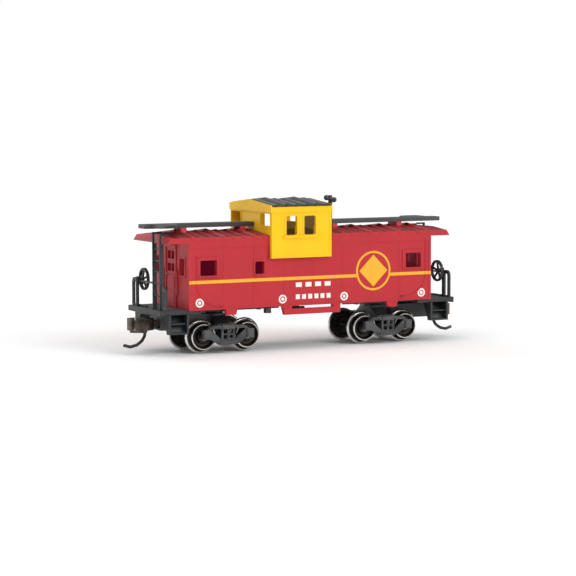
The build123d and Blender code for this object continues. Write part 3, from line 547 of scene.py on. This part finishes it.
def paint_marks(side):
    """Stripe, ring and diamond, plain data bars and discs on one side."""
    tag = "near" if side < 0 else "far"
    low, high = STRIPE_Z - STRIPE_HALF, STRIPE_Z + STRIPE_HALF
    left_end = EMBLEM_X - math.sqrt(EMBLEM_R ** 2 - (STRIPE_Z - EMBLEM_Z) ** 2) + 0.05
    right_end = 2 * EMBLEM_X - left_end
    end = HALF_LENGTH - 0.02
    mark("stripe_long_" + tag, [rectangle(-end, left_end, low, high)], stripe_paint, side)
    mark("stripe_short_" + tag, [rectangle(right_end, end, low, high)], stripe_paint, side)
    for number, x in enumerate(IRON_POSTS):
        over_iron("stripe_iron_%d_%s" % (number, tag), x, low, high, side)
    ring = [circle(EMBLEM_X, EMBLEM_Z, EMBLEM_R), circle(EMBLEM_X, EMBLEM_Z, EMBLEM_R - EMBLEM_RIM)]
    mark("emblem_ring_" + tag, ring, stripe_paint, side)
    reach = EMBLEM_R - EMBLEM_RIM - EMBLEM_GAP
    diamond = [(EMBLEM_X - reach, EMBLEM_Z), (EMBLEM_X, EMBLEM_Z - reach), (EMBLEM_X + reach, EMBLEM_Z),
               (EMBLEM_X, EMBLEM_Z + reach)]
    mark("emblem_diamond_" + tag, [diamond], stripe_paint, side)
    for row, (z0, z1, count, width) in enumerate(DATA_ROWS):
        pitch = (DATA_X1 - DATA_X0 - width) / (count - 1)
        for number in range(count):
            x0 = DATA_X0 + number * pitch
            bar = rectangle(x0, x0 + width, z0, z1)
            mark("data_bar_%d_%d_%s" % (row, number, tag), [bar], white_paint, side)
    outer, inner, dot = DISC_RADII
    for number, x in enumerate(DISC_PLACES):
        band = [circle(x, DISC_Z, outer, 48), circle(x, DISC_Z, inner, 36)]
        mark("disc_%d_%s" % (number, tag), band, white_paint, side)
        mark("disc_centre_%d_%s" % (number, tag), [circle(x, DISC_Z, dot, 32)], white_paint, side)


# ------------------------------------------------------------------ small trim
def box_mesh(x0, x1, y0, y1, z0, z1):
    """A box in drawing millimetres with its edges rounded."""
    bm = bmesh.new()
    bmesh.ops.create_cube(bm, size=1)
    for v in bm.verts:
        v.co = Vector((x0 if v.co.x < 0 else x1, y0 if v.co.y < 0 else y1, z0 if v.co.z < 0 else z1))
    bmesh.ops.bevel(bm, geom=bm.edges[:], offset=0.05, segments=2, affect="EDGES", profile=0.5)
    return bm


def sills(side):
    """The ledge under each window of a side."""
    tag = "near" if side < 0 else "far"
    for number, (x0, x1, z) in enumerate(SIDE_SILLS):
        bm = box_mesh(x0, x1, -SIDE_FACE - SILL_PROUD, -SIDE_FACE + 0.1, z - SILL_HEIGHT, z)
        name = "window_sill_%d_%s" % (number, tag)
        piece(name, bm, materials["shell_red"], smooth=True, side=side)


def door_knobs():
    """A knob on its round plate, on each end door."""
    for tag, side in (("b", -1), ("a", 1)):
        bm = bmesh.new()
        bmesh.ops.create_uvsphere(bm, u_segments=20, v_segments=12, radius=KNOB_R)
        bm.transform(Matrix.Translation((HALF_LENGTH + KNOB_R, KNOB_Y, KNOB_Z)))
        plate = bmesh.ops.create_cone(bm, cap_ends=True, segments=24, radius1=0.3, radius2=0.26, depth=0.12)
        upright = Matrix.Rotation(math.pi / 2, 4, "Y")
        laid = Matrix.Translation((HALF_LENGTH + 0.05, KNOB_Y, KNOB_Z)) @ upright
        bmesh.ops.transform(bm, matrix=laid, verts=plate["verts"])
        piece("door_knob_" + tag, bm, materials["axle_steel"], smooth=True, side=side)


# ------------------------------------------------------------------ stage, light, camera
def stage():
    """A plain, nearly white floor."""
    s = Shader("floor")
    tone = s.mix(s.ramp(s.noise(40.0, 2.0), 0.0, 1.0), (0.965, 0.965, 0.965, 1), (0.985, 0.985, 0.985, 1))
    material = s.finish(tone, 0.9)
    bm = bmesh.new()
    bmesh.ops.create_grid(bm, x_segments=1, y_segments=1, size=6.0)
    mesh = bpy.data.meshes.new("floor")
    bm.to_mesh(mesh)
    bm.free()
    floor = bpy.data.objects.new("floor", mesh)
    bpy.context.scene.collection.objects.link(floor)
    mesh.materials.append(material)


def soft_sun(name, towards, level, spread):
    """A broad, even light from far away: level is how bright it leaves a white card that faces it."""
    data = bpy.data.lights.new(name, "SUN")
    data.energy = level * math.pi
    data.angle = math.radians(spread)
    light = bpy.data.objects.new(name, data)
    light.rotation_euler = Vector(towards).to_track_quat("Z", "Y").to_euler()
    bpy.context.scene.collection.objects.link(light)


def lights():
    """A white room: it looks white behind the model, and lights it more softly than it looks."""
    world = bpy.data.worlds.new("studio")
    bpy.context.scene.world = world
    world.use_nodes = True
    tree = world.node_tree
    seen = tree.nodes.new("ShaderNodeLightPath").outputs["Is Camera Ray"]
    strength = tree.nodes.new("ShaderNodeMapRange")
    strength.inputs["To Min"].default_value = AMBIENT
    strength.inputs["To Max"].default_value = 1.0
    tree.links.new(seen, strength.inputs["Value"])
    tree.links.new(strength.outputs["Result"], tree.nodes["Background"].inputs["Strength"])
    tree.nodes["Background"].inputs["Color"].default_value = (1, 1, 1, 1)
    soft_sun("key", (0.42, -0.78, 0.5), 0.45, 38)
    soft_sun("left", (-0.8, -0.2, 0.95), 0.2, 50)
    soft_sun("top", (0.05, -0.12, 1.0), 0.24, 70)
    soft_sun("back", (-0.3, 0.85, 0.42), 0.2, 50)


def camera():
    """A view from about 27 degrees round from square on, and 5 degrees up."""
    azimuth, elevation, roll = (math.radians(angle) for angle in (AZIMUTH, ELEVATION, ROLL))
    back = Vector((math.sin(azimuth) * math.cos(elevation), -math.cos(azimuth) * math.cos(elevation),
                   math.sin(elevation)))
    right = (-back).cross(Vector((0, 0, 1))).normalized()
    up = right.cross(-back)
    c, s = math.cos(roll), math.sin(roll)
    turned = Matrix((c * right + s * up, c * up - s * right, back)).transposed()
    data = bpy.data.cameras.new("camera")
    data.sensor_width = 36
    data.lens = LENS
    data.clip_start = 0.01
    data.clip_end = 50
    eye = bpy.data.objects.new("camera", data)
    eye.matrix_world = Matrix.Translation(Vector(EYE) * MM) @ turned.to_4x4()
    bpy.context.scene.collection.objects.link(eye)
    bpy.context.scene.camera = eye


camera()
lights()
stage()
dress_cad_nodes()
for side in (-1, 1):
    paint_marks(side)
    sills(side)
door_knobs()

scene = bpy.context.scene
scene.view_settings.view_transform = "Standard"
scene.view_settings.exposure = 0.0
